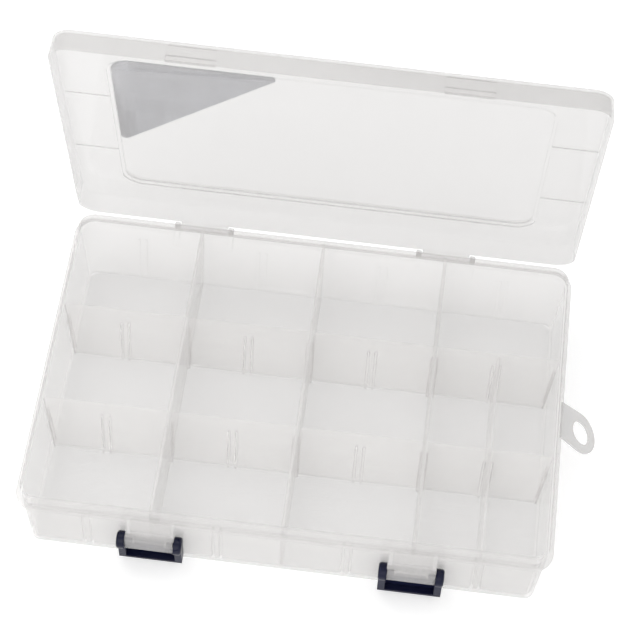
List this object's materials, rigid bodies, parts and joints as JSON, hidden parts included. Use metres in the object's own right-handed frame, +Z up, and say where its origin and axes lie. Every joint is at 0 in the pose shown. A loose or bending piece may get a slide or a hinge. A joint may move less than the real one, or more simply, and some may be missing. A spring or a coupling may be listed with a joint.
{
  "type": "tackle box",
  "caption": "Flat clear tackle box with a hinged lid, fixed lane walls, lift-out divider plates, dark swinging latches and a side tab to hang it by.",
  "frame": {"origin": "centre of the tray's flat underside", "axes": "+X along the front towards the side with the hang tab, +Y back to the hinges, +Z up out of the tray"},
  "size_m": [0.2196, 0.1578, 0.17],
  "materials": {
    "clear_plastic": "clear, smooth moulded",
    "plate_plastic": "clear, slightly hazy",
    "dark_plastic": "glossy navy",
    "silver_print": "silver-grey print, bare"
  },
  "bodies": {
    "tray": {"tray": "clear_plastic", "lane_wall_left": "clear_plastic", "lane_wall_middle": "clear_plastic", "lane_wall_right": "clear_plastic"},
    "lid": {"lid": "clear_plastic", "lid_label": "silver_print"},
    "latch_left": {"latch_left": "dark_plastic"},
    "latch_right": {"latch_right": "dark_plastic"},
    "hang_tab": {"hang_tab": "clear_plastic"},
    "cross_plate_back_1": {"cross_plate_back_1": "plate_plastic"},
    "cross_plate_back_2": {"cross_plate_back_2": "plate_plastic"},
    "cross_plate_back_3": {"cross_plate_back_3": "plate_plastic"},
    "cross_plate_back_4": {"cross_plate_back_4": "plate_plastic"},
    "cross_plate_front_1": {"cross_plate_front_1": "plate_plastic"},
    "cross_plate_front_2": {"cross_plate_front_2": "plate_plastic"},
    "cross_plate_front_3": {"cross_plate_front_3": "plate_plastic"},
    "cross_plate_front_4": {"cross_plate_front_4": "plate_plastic"},
    "split_plate_middle": {"split_plate_middle": "plate_plastic"},
    "split_plate_front": {"split_plate_front": "plate_plastic"}
  },
  "joints": [
    {"name": "lid_hinge", "type": "hinge", "parent": "tray", "child": "lid", "pos_m": [0, 0.0724, 0.0286], "axis": [-1, 0, 0], "range_deg": [-75.3, 104.7]},
    {"name": "latch_left_pivot", "type": "hinge", "parent": "tray", "child": "latch_left", "pos_m": [-0.0501, -0.0725, 0.0182], "axis": [1, 0, 0], "range_deg": [-187, 0.5]},
    {"name": "latch_right_pivot", "type": "hinge", "parent": "tray", "child": "latch_right", "pos_m": [0.0501, -0.0725, 0.0182], "axis": [1, 0, 0], "range_deg": [-183, 4.5]},
    {"name": "hang_tab_hinge", "type": "hinge", "parent": "tray", "child": "hang_tab", "pos_m": [0.1024, 0, 0.0272], "axis": [0, 1, 0], "range_deg": [-73, 47]},
    {"name": "cross_plate_back_1_lift", "type": "slide", "parent": "tray", "child": "cross_plate_back_1", "axis": [0, 0, 1], "range_m": [0, 0.036]},
    {"name": "cross_plate_back_2_lift", "type": "slide", "parent": "tray", "child": "cross_plate_back_2", "axis": [0, 0, 1], "range_m": [0, 0.036]},
    {"name": "cross_plate_back_3_lift", "type": "slide", "parent": "tray", "child": "cross_plate_back_3", "axis": [0, 0, 1], "range_m": [0, 0.036]},
    {"name": "cross_plate_back_4_lift", "type": "slide", "parent": "tray", "child": "cross_plate_back_4", "axis": [0, 0, 1], "range_m": [0, 0.036]},
    {"name": "cross_plate_front_1_lift", "type": "slide", "parent": "tray", "child": "cross_plate_front_1", "axis": [0, 0, 1], "range_m": [0, 0.036]},
    {"name": "cross_plate_front_2_lift", "type": "slide", "parent": "tray", "child": "cross_plate_front_2", "axis": [0, 0, 1], "range_m": [0, 0.036]},
    {"name": "cross_plate_front_3_lift", "type": "slide", "parent": "tray", "child": "cross_plate_front_3", "axis": [0, 0, 1], "range_m": [0, 0.036]},
    {"name": "cross_plate_front_4_lift", "type": "slide", "parent": "tray", "child": "cross_plate_front_4", "axis": [0, 0, 1], "range_m": [0, 0.036]},
    {"name": "split_plate_middle_lift", "type": "slide", "parent": "tray", "child": "split_plate_middle", "axis": [0, 0, 1], "range_m": [0, 0.036]},
    {"name": "split_plate_front_lift", "type": "slide", "parent": "tray", "child": "split_plate_front", "axis": [0, 0, 1], "range_m": [0, 0.036]}
  ]
}
